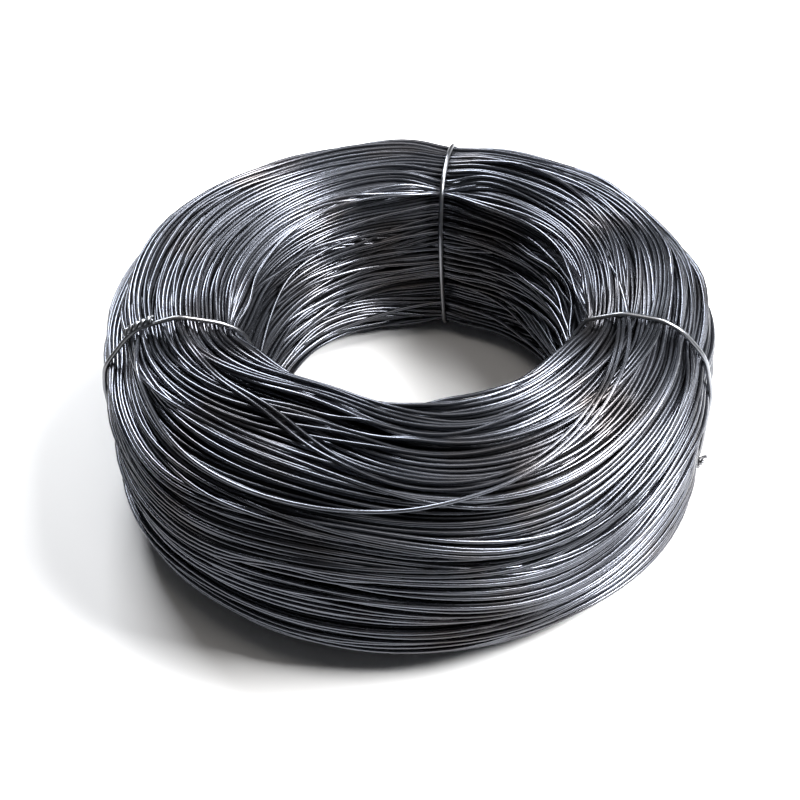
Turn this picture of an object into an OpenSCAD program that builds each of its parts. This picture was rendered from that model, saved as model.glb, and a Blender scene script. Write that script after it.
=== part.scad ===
// Coil of wire rod, lying on its end and held by three wire ties.
// The coil is one turned solid with its bore. Its turns show as grooves on its ends and its shoulder.
// Units are millimetres. The coil's axis is Z and it lies on Z = 0.

/* [Coil] */
// Outside diameter at the widest turn
coil_od = 850; // [600:10:1400]
// Diameter of the open bore
bore_d = 420; // [240:5:900]
// Height of the coil as it lies
coil_h = 305; // [200:5:600]

/* [Rod] */
// Diameter of the rod that is coiled
rod_d = 5.5; // [5:0.5:14]
// Depth of the groove left between two turns
turn_groove = 1.4; // [0.5:0.1:2.2]

/* [Rounding of the pack] */
// Radius of the shoulder between the top and the outside
shoulder_r = 110; // [60:1:120]
// Radius of the lip between the top and the bore
lip_r = 45; // [20:1:60]
// Radius at the foot, outside
foot_r = 70; // [30:1:80]
// Radius at the foot, on the bore's side
heel_r = 55; // [20:1:60]
// Radius of the slow bulge of the outer wall
bulge_r = 900; // [500:10:3000]
// Height of the widest turn, as a share of the coil's height
bulge_at = 0.44; // [0.35:0.01:0.6]
// Width of the smooth band at the foot that the coil lies on
land_w = 22; // [10:1:30]

/* [Ties] */
// Diameter of the tie wire
tie_d = 6.5; // [4:0.5:10]
// How far a tie stands out of the turns over the top and down the outside
tie_proud = 3; // [1:0.1:5]
// How far a tie lies below the bore's wall and above the foot
tie_sunk = 0.6; // [0.4:0.1:2]
// Gap between a tie and the groove it has pressed into the turns
tie_gap = 0.3; // [0.2:0.05:0.6]
// Bearing of the left tie, in degrees from +X
tie_left_at = 189; // [150:1:220]
// Bearing of the right tie, in degrees from +X
tie_right_at = -18; // [-50:1:20]
// Bearing of the back tie, in degrees from +X
tie_back_at = 77; // [60:1:120]
// Length of a tie's twisted ends
twist_l = 46; // [20:1:80]
// Full turns in the twisted ends
twist_n = 2; // [1:1:5]

/* [Hidden] */
$fn = 96;
coil_r = coil_od / 2;
bore_r = bore_d / 2;
tie_r = tie_d / 2;
bulge_x = coil_r - bulge_r;
bulge_z = bulge_at * coil_h;

// Middle of a rounded corner of radius r at height z, that runs smoothly into a wall of radius wall_r
function corner(wall_r, r, z) = [bulge_x + sqrt(pow(wall_r - r, 2) - pow(z - bulge_z, 2)), z];
// Angle at which the bulge's middle sees such a corner
function seen_at(c) = atan2(c[1] - bulge_z, c[0] - bulge_x);
// Middles of the four corners of a loop that has these inner, lower, upper and outer limits
function corners(x_in, z_low, z_top, wall_r) = [
    corner(wall_r, shoulder_r, z_top - shoulder_r), corner(wall_r, foot_r, z_low + foot_r),
    [x_in + lip_r, z_top - lip_r], [x_in + heel_r, z_low + heel_r]];

// Corners of the pack's outline
pack = corners(bore_r, 0, coil_h, bulge_r);
pack_shoulder = pack[0];
pack_foot = pack[1];
pack_lip = pack[2];
pack_heel = pack[3];

// A tie's middle line: proud over the top and the outside, sunk along the bore and the foot
tie_top = coil_h + tie_proud - tie_r;
tie_low = tie_sunk + tie_r;
tie_in = bore_r + tie_sunk + tie_r;
tie_wall_r = bulge_r + tie_proud - tie_r;
tie = corners(tie_in, tie_low, tie_top, tie_wall_r);
tie_shoulder = tie[0];
tie_foot = tie[1];
tie_lip = tie[2];
tie_heel = tie[3];
// How much thicker a tie's corners are, how far its other stretches run into them, and the same
// as an angle on the bulge
bend_swell = 0.1;
lap = 1;
lap_a = lap / tie_wall_r * 180 / PI;
// How far the twisted ends are pressed into the tie
twist_bite = 0.6;

// How many grooves fit on the top, round the shoulder, and on each side of the foot's smooth band
land_x = (pack_heel[0] + pack_foot[0]) / 2;
top_n = floor((pack_shoulder[0] - pack_lip[0]) / rod_d);
shoulder_n = floor(shoulder_r * 0.9 / rod_d);
foot_n = floor((pack_foot[0] - land_x - land_w / 2) / rod_d);
heel_n = floor((land_x - land_w / 2 - pack_heel[0]) / rod_d);

// The outer part of a corner's circle. Its inner part might be wider than the pack
module outer_corner(centre, r) {
    intersection() {
        translate(centre) circle(r = r);
        translate([centre[0] - lap, centre[1] - r - lap]) square([r + 2 * lap, 2 * r + 2 * lap]);
    }
}

// The shape inside a loop whose corners have these middles, shrunk by an amount all round:
// a circle at each corner, the slow bulge, and what lies between them
module outline(c, wall_r, shrink) {
    shoulder = shoulder_r - shrink;
    foot = foot_r - shrink;
    lip = lip_r - shrink;
    heel = heel_r - shrink;
    wall = wall_r - shrink;
    high = [bulge_x + wall * cos(seen_at(c[0])), bulge_z + wall * sin(seen_at(c[0]))];
    low = [bulge_x + wall * cos(seen_at(c[1])), bulge_z + wall * sin(seen_at(c[1]))];
    polygon([[c[3][0] - heel, c[3][1]], [c[3][0], c[3][1] - heel], [c[1][0], c[1][1] - foot], low,
             high, [c[0][0], c[0][1] + shoulder], [c[2][0], c[2][1] + lip], [c[2][0] - lip, c[2][1]]]);
    outer_corner(c[0], shoulder);
    outer_corner(c[1], foot);
    translate(c[2]) circle(r = lip);
    translate(c[3]) circle(r = heel);
    intersection() {
        translate([bulge_x, bulge_z]) circle(r = wall);
        polygon([c[1], low, low + [60, 0], high + [60, 0], high, c[0]]);
    }
}

// One groove between two turns, cut square into the outline at a point; turn 0 cuts a wall facing +X
module notch(at, turn) {
    translate(at) rotate(turn)
        polygon([[-turn_groove, 0], [turn_groove, -rod_d * 0.4], [turn_groove, rod_d * 0.4]]);
}

module notches() {
    for (i = [1 : top_n]) notch([pack_shoulder[0] - (i - 0.5) * rod_d, coil_h], 90);
    for (i = [1 : shoulder_n]) {
        a = 90 - (i - 0.5) * rod_d / shoulder_r * 180 / PI;
        notch(pack_shoulder + shoulder_r * [cos(a), sin(a)], a);
    }
    for (i = [1 : foot_n]) notch([land_x + land_w / 2 + (i - 0.5) * rod_d, 0], -90);
    for (i = [1 : heel_n]) notch([land_x - land_w / 2 - (i - 0.5) * rod_d, 0], -90);
}

// The groove that a tie has pressed into the turns: as deep and wide as the tie, and the gap
module tie_groove() {
    rotate([90, 0, 0]) linear_extrude(height = tie_d + 2 * tie_gap, center = true) difference() {
        translate([bore_r - 20, -20]) square([coil_r - bore_r + 60, coil_h + 60]);
        outline(tie, tie_wall_r, tie_r + tie_gap);
    }
}

// A bend of round bar in the XZ plane, from one angle to another
module bend(centre, r, from, to, d) {
    translate([centre[0], 0, centre[1]]) rotate([90, 0, 0]) rotate([0, 0, from])
        rotate_extrude(angle = to - from) translate([r, 0]) circle(d = d);
}

// The closed loop of one tie in the XZ plane. The four corners are a hair thicker than the
// stretches between them, which run a little way into them, so the loop is one solid
module tie_loop() {
    corner_d = tie_d + bend_swell;
    bend(tie_shoulder, shoulder_r, seen_at(tie_shoulder), 90, corner_d);
    bend(tie_lip, lip_r, 90, 180, corner_d);
    bend(tie_heel, heel_r, 180, 270, corner_d);
    bend(tie_foot, foot_r, -90, seen_at(tie_foot), corner_d);
    translate([tie_lip[0] - lap, 0, tie_top]) rotate([0, 90, 0])
        cylinder(d = tie_d, h = tie_shoulder[0] - tie_lip[0] + 2 * lap);
    translate([tie_in, 0, tie_heel[1] - lap]) cylinder(d = tie_d, h = tie_lip[1] - tie_heel[1] + 2 * lap);
    translate([tie_heel[0] - lap, 0, tie_low]) rotate([0, 90, 0])
        cylinder(d = tie_d, h = tie_foot[0] - tie_heel[0] + 2 * lap);
    bend([bulge_x, bulge_z], tie_wall_r, seen_at(tie_foot) - lap_a, seen_at(tie_shoulder) + lap_a, tie_d);
}

// A tie's two ends, twisted together and lying on the tie where it rounds a corner, at an angle
module twisted_ends(centre, corner_r, a) {
    out = corner_r + tie_r + tie_d - twist_bite;
    translate([centre[0] + out * cos(a), 0, centre[1] + out * sin(a)])
        rotate([0, -a, 0]) translate([0, 0, -twist_l / 2])
        linear_extrude(height = twist_l, twist = 360 * twist_n, slices = 8 * twist_n)
            for (side = [-1, 1]) translate([side * (tie_r - 0.3), 0]) circle(r = tie_r, $fn = 8);
}

module wire_coil() {
    color([0.16, 0.18, 0.21]) difference() {
        rotate_extrude() outline(pack, bulge_r, 0);
        for (at = [tie_left_at, tie_right_at, tie_back_at]) rotate([0, 0, at]) tie_groove();
        rotate_extrude() notches();
    }
}

module tie_left() {
    color([0.42, 0.44, 0.46]) rotate([0, 0, tie_left_at]) {
        tie_loop();
        twisted_ends(tie_shoulder, shoulder_r, 42);
    }
}

module tie_right() {
    color([0.42, 0.44, 0.46]) rotate([0, 0, tie_right_at]) {
        tie_loop();
        twisted_ends(tie_foot, foot_r, -35);
    }
}

module tie_back() {
    color([0.42, 0.44, 0.46]) rotate([0, 0, tie_back_at]) {
        tie_loop();
        twisted_ends(tie_shoulder, shoulder_r, 30);
    }
}

wire_coil();
tie_left();
tie_right();
tie_back();
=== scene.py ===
# %% [markdown]
# # A coil of wire rod
# The real thing is one very long steel rod, wound round and round into a thick ring and held by
# three wire ties. The CAD part is one turned solid with three ties. Here it gets its real look:
# hundreds of separate turns, laid one on another, pinched by the ties and bulging between them.
# Everything is worked out in millimetres and turned into metres when a mesh is made.

# %% Load the frame
import bpy, math
import numpy as np
from mathutils import Matrix, Vector


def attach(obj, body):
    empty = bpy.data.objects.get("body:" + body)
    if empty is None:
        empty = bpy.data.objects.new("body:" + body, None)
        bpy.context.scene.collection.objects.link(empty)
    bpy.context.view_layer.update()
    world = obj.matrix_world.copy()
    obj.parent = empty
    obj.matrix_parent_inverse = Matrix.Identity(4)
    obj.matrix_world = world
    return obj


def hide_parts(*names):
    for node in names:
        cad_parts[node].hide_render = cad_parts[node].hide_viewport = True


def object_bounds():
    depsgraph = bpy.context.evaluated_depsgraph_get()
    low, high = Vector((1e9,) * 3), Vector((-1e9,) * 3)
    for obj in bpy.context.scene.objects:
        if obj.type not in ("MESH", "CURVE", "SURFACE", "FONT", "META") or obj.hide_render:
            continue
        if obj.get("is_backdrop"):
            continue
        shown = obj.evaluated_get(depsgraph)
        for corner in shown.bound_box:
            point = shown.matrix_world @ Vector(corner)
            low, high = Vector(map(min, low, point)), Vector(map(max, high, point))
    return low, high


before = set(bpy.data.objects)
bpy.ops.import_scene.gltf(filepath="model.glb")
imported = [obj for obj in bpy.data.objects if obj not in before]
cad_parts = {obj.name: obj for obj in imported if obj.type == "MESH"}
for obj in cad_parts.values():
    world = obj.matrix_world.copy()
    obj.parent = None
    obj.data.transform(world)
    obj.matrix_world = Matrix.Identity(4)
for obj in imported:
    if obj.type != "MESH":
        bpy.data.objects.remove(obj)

SEED = 11                                  # another number winds another coil
rng = np.random.default_rng(SEED)
MM = 0.001
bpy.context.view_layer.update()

# %% [markdown]
# ## Sizes
# The same sizes as the CAD part, so that the turns end up where its outline is. Angles round
# the coil are cut into equal steps, and every turn has one point at each step.

# %% Sizes
coil_r, bore_r, coil_h = 425.0, 210.0, 305.0
rod_r, tie_r = 2.75, 3.25
shoulder_r, lip_r, foot_r, heel_r = 110.0, 45.0, 70.0, 55.0
bulge_r, bulge_z = 900.0, 0.44 * coil_h
bulge_x = coil_r - bulge_r
tie_bearing = {"tie_left": 189.0, "tie_right": -18.0, "tie_back": 77.0}
STEPS = 120
angle = np.linspace(0, 2 * math.pi, STEPS, endpoint=False)
print("a turn has", STEPS, "points,", round(2 * math.pi * coil_r / STEPS), "mm apart at the outside")

# %% [markdown]
# ## The outline of the pack
# The section is a loop of straight stretches and arcs. It starts at the bottom of the bore,
# goes up and over the lip, across the top, down the outside and back along the foot.
# Each place on the loop is one number: how far along it lies. Turns are laid by that number, so
# the same few lines of code lay a turn on the top, on the wall or in the bore.

# %% Stretches of the outline
SINK = 8.0                                 # the turns are laid about this far under the outline
FINE = 0.5                                 # stretches are first drawn with points this close

def corner_x(r, z):
    return bulge_x + math.sqrt((bulge_r - r) ** 2 - (z - bulge_z) ** 2)

def arc(cx, cz, r, a, b):
    """Points along an arc, and the way out of the pack at each."""
    t = np.linspace(a, b, max(2, int(abs(b - a) * r / FINE)))
    way = np.stack([np.cos(t), np.sin(t)], 1)
    return np.array([cx, cz]) + r * way, way

def line(p, q, way):
    """Points along a straight line, and the way out of the pack at each."""
    t = np.linspace(0, 1, max(2, int(math.dist(p, q) / FINE)))[:, None]
    return np.array(p) * (1 - t) + np.array(q) * t, np.tile(np.array(way, float), (len(t), 1))

shoulder_x, shoulder_z = corner_x(shoulder_r, coil_h - shoulder_r), coil_h - shoulder_r
foot_x, foot_z = corner_x(foot_r, foot_r), foot_r
wall_top = math.atan2(shoulder_z - bulge_z, shoulder_x - bulge_x)
wall_low = math.atan2(foot_z - bulge_z, foot_x - bulge_x)
quarter = math.pi / 2
stretches = [
    line((bore_r, heel_r), (bore_r, coil_h - lip_r), (-1, 0)),
    arc(bore_r + lip_r, coil_h - lip_r, lip_r, math.pi, quarter),
    line((bore_r + lip_r, coil_h), (shoulder_x, coil_h), (0, 1)),
    arc(shoulder_x, shoulder_z, shoulder_r, quarter, wall_top),
    arc(bulge_x, bulge_z, bulge_r, wall_top, wall_low),
    arc(foot_x, foot_z, foot_r, wall_low, -quarter),
    line((foot_x, 0), (bore_r + heel_r, 0), (0, -1)),
    arc(bore_r + heel_r, heel_r, heel_r, -quarter, -math.pi)]
print("the section has", len(stretches), "stretches")

# %% The loop in equal cells
CELL = 1.25                                # the loop is cut into cells of about this length
ways = np.concatenate([way for _, way in stretches])
loop = np.concatenate([point for point, _ in stretches]) - ways * SINK
gone = np.concatenate([[0], np.cumsum(np.linalg.norm(np.diff(loop, axis=0), axis=1))])
around = gone[-1] + np.linalg.norm(loop[-1] - loop[0])
cells = int(around / CELL)
cell = around / cells
at = np.arange(cells) * cell
out_x, out_z = (np.interp(at, gone, loop[:, i]) for i in (0, 1))
way_x, way_z = (np.interp(at, gone, ways[:, i]) for i in (0, 1))
# Where along the loop the lip, the top, the shoulder, the wall, the foot and the base begin
LIP, TOP, SHOULDER, WALL, FOOT, BASE = np.cumsum(
    [np.linalg.norm(np.diff(point - way * SINK, axis=0), axis=1).sum() for point, way in stretches])[:6]
print("the loop is", round(around), "mm long; the lip begins at", round(LIP), "the top at", round(TOP),
      "the shoulder at", round(SHOULDER), "the wall at", round(WALL), "the foot at", round(FOOT))

# %% [markdown]
# ## How the pack is squeezed and slumps
# Each tie draws the pack in, most of all over the lip, where it rounds the tightest corner.
# Between ties the turns belly out. In front of the left tie the upper turns fan in towards
# the bore and crowd together, and at the front right the outer ones sag. The pack is thicker at
# the front than at the back. A few smooth humps, added up, say all of this, and every turn
# reads them, so neighbours move together as they do on the real coil.

# %% Humps
def near_angle(a, centre, width):
    """One at the bearing, falling to nothing on both sides of it."""
    d = (np.degrees(a) - centre + 180) % 360 - 180
    return np.exp(-(d / width) ** 2)

def hump(p, centre, width):
    """One at a place along the loop, falling to nothing a width away on both sides."""
    d = np.clip((np.mod(p - centre + around / 2, around) - around / 2) / width, -1, 1)
    return (1 + np.cos(math.pi * d)) / 2

def at_bearings(a, rows):
    """Rows of millimetres, a bearing and a width in degrees, added up."""
    return sum(amount * near_angle(a, bearing, width) for amount, bearing, width in rows)

def at_ties(a, width):
    return sum(near_angle(a, bearing, width) for bearing in tie_bearing.values())

halfway = math.radians((tie_bearing["tie_left"] + tie_bearing["tie_back"]) / 2)
print("halfway between two ties their pull has fallen to", round(float(at_ties(halfway, 12)), 3))

# %% Squeeze and slump
PINCH, LIP_PINCH = 7.0, 19.0               # how far a tie pulls turns in, and how much more at the lip
FAN = [(-52, 240, 32), (14, 25, 22)]       # how far the upper turns slide along the loop
SAG = [(52, 293, 24), (24, 222, 20), (10, 135, 32)]     # how far the outer ones do
BELLIES = [(17, 152, 27), (13, 4, 13), (5, 36, 20), (4, 213, 14), (2, 322, 18)]
SHIFT_X, SHIFT_Y = -8, -24                 # how far the outside is off the middle of the bore
RIM, RAMP = 10, 150                        # the shift starts this far from the bore and takes this long
LOW, RISE = 15, 60                         # bellies start this high and are whole this much higher

def squeeze(a, p):
    return PINCH * at_ties(a, 7) + LIP_PINCH * at_ties(a, 12) * hump(p, 0.5 * (LIP + TOP), 95)

def crowded(a, p):
    """How much higher the turns pile up where they fan in and cross each other."""
    return 6 * near_angle(a, 240, 34) * hump(p, 290, 110)

def slid(p):
    """Where a turn really runs that was wound at p, at every step round the coil."""
    return p + at_bearings(angle, FAN) * hump(p, 315, 130) + at_bearings(angle, SAG) * hump(p, 470, 130)

def place(a, p, h):
    """The point that is p along the loop and h above it, at angle a round the coil."""
    p = np.mod(p, around)
    x, z, wx, wz = (np.interp(p, at, table, period=around) for table in (out_x, out_z, way_x, way_z))
    size = np.hypot(wx, wz)
    outer = np.clip((x - bore_r - RIM) / RAMP, 0, 1)
    outer = outer * outer * (3 - 2 * outer)
    belly = at_bearings(a, BELLIES) * outer * np.clip((z - LOW) / RISE, 0, 1)
    h = h - squeeze(a, p) - crowded(a, p) + belly
    x = x + wx / size * h + outer * (SHIFT_X * np.cos(a) + SHIFT_Y * np.sin(a))
    z = z + wz / size * h
    return np.stack([x * np.cos(a), x * np.sin(a), z], -1)

at_back_tie = math.radians(tie_bearing["tie_back"])
print("the lip is drawn in", round(float(squeeze(at_back_tie, 0.5 * (LIP + TOP))), 1), "mm at a tie")

# %% [markdown]
# ## Laying the turns
# On the real coil each turn drops onto the ones that were wound before it. A physics run of
# hundreds of springy rings would be slow and never come out the same twice. Instead, a table
# keeps the height of what already lies at each place. A new turn rests on the highest thing
# under it, and it is too stiff to dive into every hollow, so it bridges them.

# %% Laying one turn
FLOOR = -18.0                              # height of the bare table under the first turns
NOWHERE = -50.0                            # a rise so low that it never holds a turn up
STIFF = 10                                 # how many times a new turn is straightened over hollows
pile = np.full((STEPS, cells), FLOOR)
reach = int(rod_r / cell) + 1
offsets = np.arange(-reach, reach + 1)
row = np.arange(STEPS)[:, None]

def softened(h):
    return (np.roll(h, 1) + 2 * h + np.roll(h, -1)) / 4

def rest_on(p, stiff):
    """How high a turn at p rests on the pile, the cells it covers and its rise above each."""
    c = np.rint(p / cell).astype(int)[:, None] + offsets
    d = c * cell - p[:, None]
    rise = np.where(np.abs(d) < rod_r, np.sqrt(np.maximum(rod_r ** 2 - d ** 2, 0)), NOWHERE)
    c = np.mod(c, cells)
    need = (pile[row, c] + rise).max(1)
    h = need.copy()
    for _ in range(stiff):
        h = np.maximum(need, softened(h))
    return softened(h), c, rise

def lay(p, cap, stiff=STIFF):
    """Lay one turn unless it would stand above the cap. Gives back its heights, or None."""
    h, c, rise = rest_on(p, stiff)
    if (h > cap).any():
        return None
    pile[row, c] = np.maximum(pile[row, c], h[:, None] + rise)
    return h

print("a turn covers", len(offsets), "cells of", round(cell, 2), "mm")

# %% The first, even layer
ANY_HEIGHT = 99                            # a cap that no turn reaches
pitch = 2 * rod_r + 0.1                    # from one turn to the next, with a hair between

def wave(amount, first, last):
    """A slow random sway round the coil."""
    out = np.zeros(STEPS)
    for k in range(first, last + 1):
        out += rng.normal() * amount / k * np.cos(k * angle + rng.uniform(0, 2 * math.pi))
    return out

under, upper = [], []                      # each turn: (place along the loop, height, tone)
n_under = int(around / pitch)
sway = wave(6, 1, 3)
for i in rng.permutation(n_under):
    p = slid(i * around / n_under + sway + wave(0.7, 2, 5))
    under.append((p, lay(p, ANY_HEIGHT), rng.uniform(0, 1)))
print("under turns:", len(under))

# %% [markdown]
# The upper turns come in bundles that were wound together. Bundles sway across each other at
# shallow angles and leave dark gaps between them. Each new bundle goes where the pile is lowest,
# out of a few places drawn at random, so that the pack fills up evenly.
# One gap is kept open on purpose: it runs down the front right, from the tie into the wall.

# %% How high turns may stand
flush = SINK - rod_r                       # a turn this high just touches the CAD outline
PROUD = 10                                 # how high the turns may stand on the outside
LIP_FLUSH, FOOT_FLUSH = LIP + 25, FOOT + 40     # before and past these they stay flush
gap_bearing = np.degrees(angle)
gap_place = np.interp(gap_bearing, [296, 307, 316, 326, 340], [458, 440, 412, 400, 392])
gap_open = (gap_bearing > 299) & (gap_bearing < 338)
GAP_HALF, GAP_CAP = 4.5, -6.0              # half the gap's width, and how high turns stand in it

def highest(p):
    """Turns may stand a little proud, but not in the bore or under the foot."""
    p = np.mod(p, around)
    cap = np.where((p < LIP_FLUSH) | (p > FOOT_FLUSH), flush, PROUD + crowded(angle, p))
    return np.where(gap_open & (np.abs(p - gap_place) < GAP_HALF), GAP_CAP, cap)

print("turns are flush at a height of", flush, "and may stand", PROUD, "high on the outside")

# %% Bundles
MOST_TURNS, MOST_MISSES = 420, 2200
TRIES = 9                                  # places drawn for a bundle, of which the lowest is taken
FEWEST, MANY = 3, 14                       # a bundle has at least the first, and less than the second
HEEL = 40                                  # this last stretch of the loop counts as the bore's
SWAY_TOP, SWAY_BORE, SWAY_OUTSIDE = 14, 18, 10          # how far bundles sway along the loop
TONE_SPREAD = 0.18                         # how much the turns of one bundle differ in tone

def bundle():
    """A random bundle where the pile is low: its number of turns, its place and its sway."""
    low = None
    for _ in range(TRIES):
        size = int(rng.integers(FEWEST, MANY))
        centre = rng.uniform(0, around)
        in_bore = centre < LIP or centre > around - HEEL
        amount = SWAY_TOP if TOP < centre < WALL else SWAY_BORE if in_bore else SWAY_OUTSIDE
        sway = wave(amount, 1, 3)
        p = slid(centre + sway)
        mean = pile[np.arange(STEPS), np.mod(np.rint(p / cell).astype(int), cells)].mean()
        if low is None or mean < low[0]:
            low = mean, size, centre, sway
    return low[1:]

misses = 0
while len(upper) < MOST_TURNS and misses < MOST_MISSES:
    size, centre, sway = bundle()
    splay = 1 + 0.12 * wave(1.0, 1, 3)
    tone = rng.uniform(0, 1)
    for i in range(size):
        p = slid(centre + (i - size / 2) * pitch * splay + sway + wave(1.2, 2, 6))
        h = lay(p, highest(p))
        if h is None:
            misses += 1
        else:
            upper.append((p, h, float(np.clip(tone + rng.normal() * TONE_SPREAD, 0, 1))))
print("upper turns:", len(upper), "turned away:", misses, "highest point:", round(float(pile.max()), 1))

# %% [markdown]
# ## From turns to meshes
# Each turn is a closed tube. A curve with a round bevel would do for one, but each ring of
# points here has to face out of the pack, so that the tubes lie in each other's hollows without
# a twist. The tubes of one region are joined into one mesh. A tube has only a few sides, because
# there are hundreds, and smooth shading hides that. Every face also gets a place in two maps: one
# for storing colours, where nothing overlaps, and one called "along" that says how many metres
# along its rod a point lies. The scratches of the steel follow that one.

# %% Rings and faces of a tube
def round_sections(mid, lift, sides, r):
    """Rings of points round a line of middles, with lift as the way up at each."""
    run = np.gradient(mid, axis=0)
    run /= np.linalg.norm(run, axis=1)[:, None]
    side = np.cross(run, lift)
    side /= np.linalg.norm(side, axis=1)[:, None]
    lift = np.cross(side, run)
    k = (np.arange(sides) * 2 * math.pi / sides)[:, None]
    return mid[:, None] + r * (lift[:, None] * np.cos(k) + side[:, None] * np.sin(k))

def tube_faces(n, sides, closed):
    """Quads along a tube of n rings, and each corner's ring and side number."""
    s, q = np.meshgrid(np.arange(n if closed else n - 1), np.arange(sides), indexing="ij")
    ring, turn = np.stack([s, s, s + 1, s + 1], -1), np.stack([q, q + 1, q + 1, q], -1)
    return (ring % n * sides + turn % sides).reshape(-1, 4), ring, turn / sides

def lengths(mid):
    """How many metres along the line each of its points lies."""
    return np.concatenate([[0], np.linalg.norm(np.diff(mid, axis=0), axis=1).cumsum()]) * MM

print("a tube of six sides has", len(tube_faces(STEPS, 6, True)[0]), "faces")

# %% A mesh with its two maps
def make_mesh(name, verts, quads, store, along, tones):
    mesh = bpy.data.meshes.new(name)
    mesh.vertices.add(len(verts))
    mesh.vertices.foreach_set("co", (verts * MM).ravel())
    mesh.loops.add(quads.size)
    mesh.loops.foreach_set("vertex_index", quads.ravel())
    mesh.polygons.add(len(quads))
    mesh.polygons.foreach_set("loop_start", np.arange(len(quads)) * 4)
    mesh.update(calc_edges=True)
    mesh.polygons.foreach_set("use_smooth", np.ones(len(quads), bool))
    for title, data in (("OFBake", store), ("along", along)):
        mesh.uv_layers.new(name=title).data.foreach_set("uv", data.ravel())
    mesh.attributes.new("tone", "FLOAT", "POINT").data.foreach_set("value", tones)
    obj = bpy.data.objects.new(name, mesh)
    bpy.context.collection.objects.link(obj)
    return obj

def pick_only(*pieces):
    """Select these pieces and nothing else. The first is the active one."""
    bpy.ops.object.select_all(action="DESELECT")
    for piece in pieces:
        piece.select_set(True)
    bpy.context.view_layer.objects.active = pieces[0]

def face_outwards():
    """In edit mode, turn every face of the piece outwards."""
    bpy.ops.mesh.select_all(action="SELECT")
    bpy.ops.mesh.normals_make_consistent(inside=False)

# %% Closed tubes and open ones
MARGIN = 0.06                              # bare edge on both sides of a tube's band in the colour map

def closed_tubes(name, group, sides):
    """One mesh of all the turns in a group."""
    parts = []
    quad, ring, turn = tube_faces(STEPS, sides, True)
    wrap = np.arange(-1, STEPS + 1) % STEPS
    for i, (p, h, tone) in enumerate(group):
        mid = place(angle, p, h)[wrap]
        lift = place(angle, p, h + 1.0)[wrap] - mid
        verts = round_sections(mid, lift, sides, rod_r)[1:-1].reshape(-1, 3)
        along = np.stack([lengths(mid[1:])[ring], turn + i], -1).reshape(-1, 2)
        band = (i + MARGIN + (1 - 2 * MARGIN) * turn) / len(group)
        store = np.stack([ring / STEPS, band], -1).reshape(-1, 2)
        parts.append((verts, quad + i * STEPS * sides, store, along, np.full(STEPS * sides, tone)))
    obj = make_mesh(name, *(np.concatenate(x) for x in zip(*parts)))
    print(name, len(group), "turns,", len(obj.data.polygons) * 2, "triangles")
    return obj

def open_tube(name, mid, lift, sides, r, tone, strip=(0.0, 1.0)):
    """A tube with two ends. The strip is its share of the map that stores colours."""
    verts = round_sections(mid, lift, sides, r).reshape(-1, 3)
    quad, ring, turn = tube_faces(len(mid), sides, False)
    u = lengths(mid)[ring]
    store = np.stack([u / u.max(), strip[0] + (strip[1] - strip[0]) * turn], -1).reshape(-1, 2)
    along = np.stack([u, turn], -1).reshape(-1, 2)
    obj = make_mesh(name, verts, quad, store, along, np.full(len(verts), tone))
    pick_only(obj)
    bpy.ops.object.mode_set(mode="EDIT")
    bpy.ops.mesh.select_all(action="SELECT")
    bpy.ops.mesh.fill_holes(sides=0)
    face_outwards()
    bpy.ops.object.mode_set(mode="OBJECT")
    return obj

# %% The coil's turns
UNDER_SIDES, UPPER_SIDES = 4, 6            # the under turns are hardly seen
OVER = 30                                  # this last stretch of the loop goes with the bore's turns
regions = {"bore_turns": (-OVER, LIP), "lip_turns": (LIP, TOP), "top_turns": (TOP, SHOULDER),
           "shoulder_turns": (SHOULDER, WALL), "wall_turns": (WALL, FOOT), "foot_turns": (FOOT, BASE),
           "base_turns": (BASE, around - OVER)}
coil = [closed_tubes("under_turns", under, UNDER_SIDES)]
for name, (low, high) in regions.items():
    group = [t for t in upper if low <= (float(np.mean(t[0])) + OVER) % around - OVER < high]
    if group:
        coil.append(closed_tubes(name, group, UPPER_SIDES))

# %% [markdown]
# ## The loose turn
# One end of the rod comes out at the left tie's twist and lies loose over the front of the pack.
# It crosses the other turns, so it isn't one more turn of a bundle. Its route is a list of stops,
# each a bearing and a place along the loop. It rests on the pile like any turn, a little proud,
# and its far end dips in among the others.

# %% Loose turn
loose_stops = np.array([(190, 372), (198, 373), (206, 380), (215, 393), (224, 397), (238, 395), (253, 391),
                        (269, 386), (285, 375), (302, 358), (317, 341), (335, 318), (352, 296), (366, 284)])
LOOSE_FROM, LOOSE_TO, LOOSE_STEP = 190, 366, 1.5        # bearings in degrees
LOOSE_STIFF, LOOSE_PROUD = 14, 1.4
TUCK_FROM, TUCK_OVER, TUCK_DEPTH = 335, 25, 10.0
loose_deg = np.arange(LOOSE_FROM, LOOSE_TO, LOOSE_STEP)
loose_a = np.radians(loose_deg)
loose_p = np.interp(loose_deg, *loose_stops.T)
for _ in range(12):
    loose_p[1:-1] = (loose_p[:-2] + 2 * loose_p[1:-1] + loose_p[2:]) / 4
whole_p = np.interp((np.degrees(angle) - LOOSE_FROM) % 360 + LOOSE_FROM, loose_deg, loose_p)
rest_h = rest_on(whole_p, LOOSE_STIFF)[0]
loose_h = np.interp(loose_deg % 360, np.degrees(angle), rest_h, period=360)
tuck = np.clip((loose_deg - TUCK_FROM) / TUCK_OVER, 0, 1)
loose_h = loose_h + LOOSE_PROUD - TUCK_DEPTH * tuck
loose_mid = place(loose_a, loose_p, loose_h)
loose_lift = place(loose_a, loose_p, loose_h + 1.0) - loose_mid
loose = open_tube("loose_turn", loose_mid, loose_lift, 8, rod_r, 1.0)
coil.append(loose)
print("the loose turn is", round(float(lengths(loose_mid)[-1]), 2), "m long")

# %% [markdown]
# ## The ties
# A tie is a piece of soft wire, put round the pack through the bore and pulled tight. In the
# plane of its loop it takes the shortest way: straight over hollows, bent only where a turn
# stands out. That is the hull of the section, so the loop is worked out from what was laid.

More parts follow.
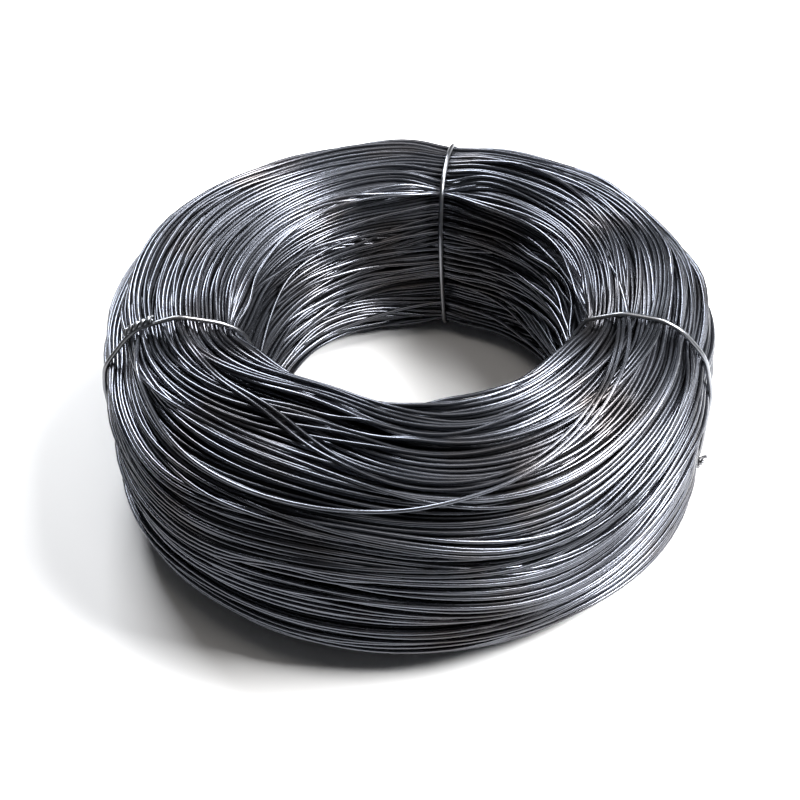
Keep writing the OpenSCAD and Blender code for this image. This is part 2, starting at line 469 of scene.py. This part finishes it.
# %% The line that a tie takes
TIE_SPACING = 4.0                          # from one point of a tie's line to the next
TIE_BITE = 0.3                             # how far a tie is pressed into the turns

def hull(points):
    """The corners of the loop that a tight string makes round flat points, anticlockwise."""
    def one_side(ordered):
        out = []
        for q in ordered:
            while len(out) > 1 and ((out[-1][0] - out[-2][0]) * (q[1] - out[-2][1])
                                    - (out[-1][1] - out[-2][1]) * (q[0] - out[-2][0])) <= 0:
                out.pop()
            out.append(q)
        return out[:-1]
    points = sorted(map(tuple, points))
    return np.array(one_side(points) + one_side(points[::-1]))

def outward(loop):
    go = np.roll(loop, -1, 0) - np.roll(loop, 1, 0)
    go /= np.linalg.norm(go, axis=1)[:, None]
    return np.stack([go[:, 1], -go[:, 0]], 1)

def tie_line(bearing):
    """The middle line of a tie, as pairs of distance from the axis and height."""
    a = math.radians(bearing)
    k = bearing % 360 / 360 * STEPS
    high = np.maximum(pile[int(k) % STEPS], pile[(int(k) + 1) % STEPS])
    flat = place(np.full(cells, a), at, high)
    loop = hull(np.stack([flat[:, :2] @ np.array([math.cos(a), math.sin(a)]), flat[:, 2]], 1))
    loop = np.vstack([loop, loop[:1]])
    run = np.concatenate([[0], np.linalg.norm(np.diff(loop, axis=0), axis=1).cumsum()])
    s = np.linspace(0, run[-1], int(run[-1] / TIE_SPACING), endpoint=False)
    loop = np.stack([np.interp(s, run, loop[:, i]) for i in (0, 1)], 1)
    for _ in range(6):
        loop = (np.roll(loop, 1, 0) + 2 * loop + np.roll(loop, -1, 0)) / 4
    return loop + outward(loop) * (tie_r - TIE_BITE)

print("the left tie's line has", len(tie_line(tie_bearing["tie_left"])), "points")

# %% [markdown]
# A tie's two ends are twisted together and lie on its loop. Each end is a tube that winds round
# the pair's middle like one strand of a rope, half a turn behind the other, and at the last they
# spring apart. The loop and its ends are joined into one piece.

# %% Ties
TIE_SIDES, END_SIDES = 10, 8
TWIST_TURNS, TWIST_POINTS = 2.6, 60
STRAND = 0.8                               # an end's radius, as a share of the tie's
SPREAD_SIDE, SPREAD_UP = 8, 3              # how far the two tips are apart across and upwards
LIFT_TIPS = 2                              # how far both tips stand up

def tie_mesh(name, bearing, twist_at, twist_length):
    """A tie, with its ends twisted together from the place twist_at of the outline inwards."""
    a = math.radians(bearing)
    radial, across = np.array([math.cos(a), math.sin(a), 0]), np.array([-math.sin(a), math.cos(a), 0])
    def in_space(flat, side=0.0):
        return flat[:, :1] * radial + flat[:, 1:] * np.array([0, 0, 1.0]) + np.reshape(side, (-1, 1)) * across
    loop = tie_line(bearing)
    n = len(loop)
    mid = in_space(loop)[np.arange(-1, n + 1) % n]
    verts = round_sections(mid, np.tile(across, (n + 2, 1)), TIE_SIDES, tie_r)[1:-1].reshape(-1, 3)
    quad, ring, turn = tube_faces(n, TIE_SIDES, True)
    store = np.stack([ring / n, turn * 0.3], -1).reshape(-1, 2)
    along = np.stack([lengths(mid[1:])[ring], turn], -1).reshape(-1, 2)
    body = make_mesh(name, verts, quad, store, along, np.full(n * TIE_SIDES, 0.5))
    spot = place(np.array([a]), np.array([float(twist_at)]), np.zeros(1))[0]
    start = np.argmin(np.hypot(loop[:, 0] - spot[:2] @ radial[:2], loop[:, 1] - spot[2]))
    m = int(twist_length / TIE_SPACING)
    pick = (start + np.arange(m)) % n
    fine = np.linspace(0, m - 1, TWIST_POINTS)
    base, out = (np.stack([np.interp(fine, np.arange(m), flat[pick, i]) for i in (0, 1)], 1)
                 for flat in (loop, outward(loop)))
    lift = in_space(base + out) - in_space(base)
    wind = np.linspace(0, TWIST_TURNS * 2 * math.pi, TWIST_POINTS)
    tip = np.clip(np.linspace(-5, 1, TWIST_POINTS), 0, 1)   # nothing until the last sixth, then up to one
    wide = tie_r * STRAND
    parts = [body]
    for k, phase in enumerate((0, math.pi)):
        off = tie_r * 1.35 + wide + wide * np.sin(wind + phase) + (LIFT_TIPS + SPREAD_UP * k) * tip
        side = wide * np.cos(wind + phase) + (k - 0.5) * SPREAD_SIDE * tip
        mid = in_space(base + out * off[:, None], side)
        strip = (0.35 + 0.33 * k, 0.65 + 0.33 * k)
        # The twisted ends get a lower tone than the loop (0.3 against 0.5): painted shade, for the twist
        # lying in shadow.
        parts.append(open_tube(name + "_end", mid, lift, END_SIDES, wide, 0.3, strip))
    pick_only(*parts)
    bpy.ops.object.join()
    metres = round(lengths(in_space(loop))[-1], 2)
    print(name, "is", metres, "m round,", len(body.data.polygons) * 2, "triangles")
    return body

tie_pieces = {"tie_left": tie_mesh("left_tie_wire", tie_bearing["tie_left"], 382, 44),
              "tie_right": tie_mesh("right_tie_wire", tie_bearing["tie_right"], 658, 36),
              "tie_back": tie_mesh("back_tie_wire", tie_bearing["tie_back"], 500, 40)}

# %% [markdown]
# ## The core
# A real coil is full of more turns that nobody sees. Here a plain ring stands in for them,
# so that no light shows through the gaps; it is coloured near black, as painted shade for the
# deep gaps between the turns. It starts as a torus, and then each of its points is moved to its
# place a little below the first turns, so it has the same dents and bellies.

# %% Core
ROUND, CROSS = 60, 72                      # sections round the ring, and points round a section
CORE_DEPTH = 2.0                           # how far it lies below the bare table
bpy.ops.object.select_all(action="DESELECT")
bpy.ops.mesh.primitive_torus_add(major_segments=ROUND, minor_segments=CROSS,
                                 major_radius=0.3, minor_radius=0.1)
core = bpy.context.object
core.name = "core"
i, j = np.divmod(np.arange(ROUND * CROSS), CROSS)
core_h = np.full(len(i), FLOOR - CORE_DEPTH)
core_points = place(i * 2 * math.pi / ROUND, around * (1 - j / CROSS), core_h)
core.data.vertices.foreach_set("co", (core_points * MM).ravel())
core.data.update()
bpy.ops.object.mode_set(mode="EDIT")
face_outwards()
bpy.ops.object.mode_set(mode="OBJECT")
bpy.ops.object.shade_smooth()
print("core:", len(core.data.polygons) * 2, "triangles")

# %% [markdown]
# ## Materials
# Drawn steel has fine marks along its length and patches of dark oxide. Both are made once, in a
# node group that the rod, the tie and the core share. It gives out values only. Each material
# turns them into its own colours and roughness. The marks follow the map called "along", so they
# bend with the rod, and the patches follow the place on the coil, so they spread over many turns.

# %% The shared steel marks
def node(tree, kind, where=(0, 0), **settings):
    n = tree.nodes.new(kind)
    n.location = where
    for key, value in settings.items():
        setattr(n, key, value)
    return n

marks = bpy.data.node_groups.new("steel_marks", "ShaderNodeTree")
marks.interface.new_socket("Along", in_out="INPUT", socket_type="NodeSocketVector")
marks.interface.new_socket("Place", in_out="INPUT", socket_type="NodeSocketVector")
for title in ("Streaks", "Patches", "Normal"):
    kind = "NodeSocketVector" if title == "Normal" else "NodeSocketFloat"
    marks.interface.new_socket(title, in_out="OUTPUT", socket_type=kind)
given, taken = node(marks, "NodeGroupInput", (-900, 0)), node(marks, "NodeGroupOutput", (500, 0))
stretch = node(marks, "ShaderNodeMapping", (-700, 100))
stretch.inputs["Scale"].default_value = (14, 3, 1)
streaks = node(marks, "ShaderNodeTexNoise", (-450, 100))
streaks.inputs["Scale"].default_value = 1.0
streaks.inputs["Detail"].default_value = 4.0
patches = node(marks, "ShaderNodeTexNoise", (-450, -200))
patches.inputs["Scale"].default_value = 7.0
patches.inputs["Detail"].default_value = 3.0
relief = node(marks, "ShaderNodeBump", (150, -100))
relief.inputs["Strength"].default_value = 0.15
relief.inputs["Distance"].default_value = 0.0004
marks.links.new(given.outputs["Along"], stretch.inputs["Vector"])
marks.links.new(stretch.outputs[0], streaks.inputs["Vector"])
marks.links.new(given.outputs["Place"], patches.inputs["Vector"])
marks.links.new(streaks.outputs["Fac"], relief.inputs["Height"])
marks.links.new(streaks.outputs["Fac"], taken.inputs["Streaks"])
marks.links.new(patches.outputs["Fac"], taken.inputs["Patches"])
marks.links.new(relief.outputs["Normal"], taken.inputs["Normal"])
print("steel_marks has", len(marks.nodes), "nodes")

# %% [markdown]
# A material mixes three things into its colour: each turn's own tone, the streaks along it, and
# a browner tint where the patches of old oxide are thick. The streaks also make the rod a little
# duller here and there. The tie wire is the same steel drawn brighter, with its own colours.

# %% Rod, tie and core materials
MIX_FACTOR, MIX_A, MIX_B, MIX_OUT = 0, 6, 7, 2          # sockets of a Mix node that mixes colours

def steel(name, dark, pale, brown, rough, metal):
    """A steel whose colour runs from dark to pale, with brown patches."""
    mat = bpy.data.materials.new(name)
    mat.use_nodes = True
    t = mat.node_tree
    t.nodes.clear()
    link = t.links.new
    out = node(t, "ShaderNodeOutputMaterial", (900, 0))
    skin = node(t, "ShaderNodeBsdfPrincipled", (600, 0))
    skin.inputs["Metallic"].default_value = metal
    along = node(t, "ShaderNodeUVMap", (-900, 0), uv_map="along")
    where = node(t, "ShaderNodeTexCoord", (-900, -200))
    group = node(t, "ShaderNodeGroup", (-650, 0), node_tree=marks)
    link(along.outputs[0], group.inputs["Along"])
    link(where.outputs["Object"], group.inputs["Place"])
    tone = node(t, "ShaderNodeAttribute", (-650, 250), attribute_name="tone")
    half = node(t, "ShaderNodeMath", (-400, 50), operation="MULTIPLY")
    half.inputs[1].default_value = 0.5
    mixed = node(t, "ShaderNodeMath", (-200, 150), operation="MULTIPLY_ADD")
    mixed.inputs[1].default_value = 0.6
    link(group.outputs["Streaks"], half.inputs[0])
    link(tone.outputs["Fac"], mixed.inputs[0])
    link(half.outputs[0], mixed.inputs[2])
    ramp = node(t, "ShaderNodeValToRGB", (0, 150))
    ramp.color_ramp.elements[0].color = (*dark, 1)
    ramp.color_ramp.elements[1].color = (*pale, 1)
    link(mixed.outputs[0], ramp.inputs[0])
    thick = node(t, "ShaderNodeMapRange", (0, -100))
    thick.inputs["From Min"].default_value = 0.50
    thick.inputs["From Max"].default_value = 0.72
    thick.inputs["To Max"].default_value = 0.7
    link(group.outputs["Patches"], thick.inputs[0])
    tint = node(t, "ShaderNodeMix", (350, 100), data_type="RGBA")
    tint.inputs[MIX_B].default_value = (*brown, 1)
    link(thick.outputs[0], tint.inputs[MIX_FACTOR])
    link(ramp.outputs[0], tint.inputs[MIX_A])
    link(tint.outputs[MIX_OUT], skin.inputs["Base Color"])
    dull = node(t, "ShaderNodeMapRange", (0, -350))
    dull.inputs["To Min"].default_value = rough - 0.08
    dull.inputs["To Max"].default_value = rough + 0.12
    link(group.outputs["Streaks"], dull.inputs[0])
    link(dull.outputs[0], skin.inputs["Roughness"])
    link(group.outputs["Normal"], skin.inputs["Normal"])
    link(skin.outputs[0], out.inputs[0])
    print(name, "has", len(t.nodes), "nodes")
    return mat

rod_skin = steel("black_annealed_rod", dark=(0.018, 0.020, 0.024), pale=(0.145, 0.153, 0.178),
                 brown=(0.060, 0.050, 0.044), rough=0.23, metal=0.9)
tie_skin = steel("soft_tie_wire", dark=(0.12, 0.125, 0.14), pale=(0.30, 0.31, 0.33),
                 brown=(0.14, 0.12, 0.11), rough=0.28, metal=0.95)
# The core is coloured near black and matt, darker than the steel it stands for: painted shade for the deep
# gaps between the turns.
painted_shade_skin = steel("painted_shade_core", dark=(0.004, 0.004, 0.005), pale=(0.010, 0.010, 0.012),
                  brown=(0.008, 0.007, 0.006), rough=0.80, metal=0.0)

# %% [markdown]
# ## Handing the pieces over
# Every piece rides on the part's one body. The turns and the core take the place of the turned
# solid, and each tie takes the place of the CAD tie on its side.

# %% Hand over the pieces
for piece in coil:
    piece.data.materials.append(rod_skin)
    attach(piece, "root"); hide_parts("wire_coil")
for cad_node, piece in tie_pieces.items():
    piece.data.materials.append(tie_skin)
    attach(piece, "root"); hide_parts(cad_node)
core.data.materials.append(painted_shade_skin)
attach(core, "root"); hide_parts("wire_coil")
print("pieces:", len(coil) + len(tie_pieces) + 1)

# %% [markdown]
# ## The stage, the lights and the camera
# A ring of polished rods shines only where a lamp, the rod's direction and the eye line up, so
# where each lamp stands picks the stretches of the coil that gleam. The floor is pale and the
# lamps are broad, as in a studio, so the shadows are soft.

# %% Stage
bpy.ops.mesh.primitive_plane_add(size=12)
ground = bpy.context.object
ground.name = "ground"
pale = bpy.data.materials.new("pale_floor")
pale.use_nodes = True
pale.node_tree.nodes["Principled BSDF"].inputs["Base Color"].default_value = (0.82, 0.82, 0.82, 1)
pale.node_tree.nodes["Principled BSDF"].inputs["Roughness"].default_value = 0.9
ground.data.materials.append(pale)
ground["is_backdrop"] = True

sky = bpy.data.worlds.new("studio")
bpy.context.scene.world = sky
sky.use_nodes = True
sky.node_tree.nodes["Background"].inputs["Color"].default_value = (0.95, 0.97, 1, 1)
sky.node_tree.nodes["Background"].inputs["Strength"].default_value = 0.06
bpy.context.scene.view_settings.view_transform = "Standard"
print("the floor is", round(ground.dimensions.x), "m wide")

# %% Lights
MIDDLE = Vector((0, 0, 0.15))              # what the lamps are aimed at

def softbox(name, toward, distance, size, watts, tint=(1, 1, 1)):
    """A broad lamp, seen from the coil in the direction toward and at a distance in metres."""
    light = bpy.data.lights.new(name, "AREA")
    light.shape = "RECTANGLE"
    light.size, light.size_y = size
    light.energy = watts
    light.color = tint
    lamp = bpy.data.objects.new(name, light)
    way = Vector(toward).normalized()
    lamp.location = MIDDLE + way * distance
    lamp.rotation_mode = "QUATERNION"
    lamp.rotation_quaternion = (-way).to_track_quat("-Z", "Y")
    bpy.context.collection.objects.link(lamp)
    print(name, "lamp:", watts, "watts at", distance, "m")

softbox("key", (0.52, 0.11, 0.86), 2.6, (1.0, 1.0), 95)
softbox("back", (-0.28, 0.58, 0.76), 2.8, (1.2, 0.8), 95, (0.95, 0.97, 1))
softbox("right", (0.85, 0.25, 0.50), 2.6, (1.4, 1.0), 15)
softbox("low_right", (0.66, -0.24, 0.60), 2.4, (0.8, 0.6), 130)
softbox("above", (0.03, -0.15, 1.0), 3.0, (1.4, 1.4), 16, (1, 0.94, 0.88))

# %% Camera
def aim(eye, target, lens, roll):
    cam = bpy.data.cameras.new("camera")
    cam.lens = lens
    holder = bpy.data.objects.new("camera", cam)
    holder.location = eye
    look = Vector(target) - Vector(eye)
    turn = look.to_track_quat("-Z", "Y").to_matrix() @ Matrix.Rotation(math.radians(roll), 3, "Z")
    holder.rotation_mode = "QUATERNION"
    holder.rotation_quaternion = turn.to_quaternion()
    bpy.context.collection.objects.link(holder)
    bpy.context.scene.camera = holder
    print("the camera is", round(look.length, 2), "m from what it looks at")

aim(eye=(0.0, -1.7155, 1.747), target=(-0.0241, -0.0367, 0.1109), lens=73.7, roll=-3.9)

# %% [markdown]
# ## Record the sizes and finish
# The new pieces should fill the CAD part's box, give or take the turns that stand proud of it.

# %% Finish
low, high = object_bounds()
print("new box in metres:", [round(v, 3) for v in high - low])
